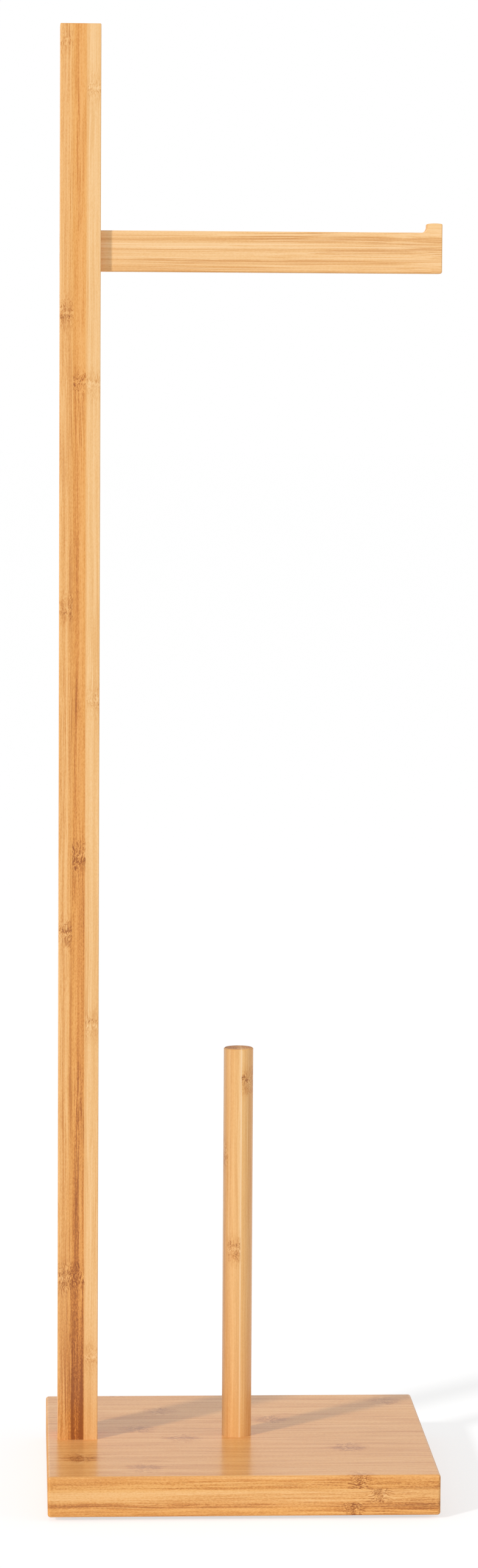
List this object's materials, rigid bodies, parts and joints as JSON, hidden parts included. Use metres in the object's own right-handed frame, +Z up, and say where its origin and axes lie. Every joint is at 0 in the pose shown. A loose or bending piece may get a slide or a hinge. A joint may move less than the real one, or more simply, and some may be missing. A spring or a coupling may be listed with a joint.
{
  "type": "toilet paper stand",
  "caption": "Free-standing bamboo toilet roll stand: a square post on a thick board, a flat lipped arm for the roll in use and a round spindle for spare rolls.",
  "frame": {"origin": "on the floor, under the middle of the base board", "axes": "+X from the post along the arm, +Y from the front to the back, +Z up along the post"},
  "size_m": [0.2025, 0.18, 0.7575],
  "materials": {
    "bamboo_board": "laminated bamboo, satin lacquer",
    "bamboo_post": "laminated bamboo, satin lacquer",
    "bamboo_arm": "laminated bamboo, satin lacquer",
    "bamboo_spindle": "turned laminated bamboo, satin lacquer",
    "screw_steel": "zinc plated",
    "pad_rubber": "matte"
  },
  "bodies": {
    "root": {"base_board": "bamboo_board", "upright_post": "bamboo_post", "roll_arm": "bamboo_arm", "spare_roll_spindle": "bamboo_spindle", "post_foot_screws": "screw_steel", "arm_screws": "screw_steel", "spindle_screw": "screw_steel", "foot_pad_front_left": "pad_rubber", "foot_pad_front_right": "pad_rubber", "foot_pad_back_left": "pad_rubber", "foot_pad_back_right": "pad_rubber"}
  },
  "joints": []
}
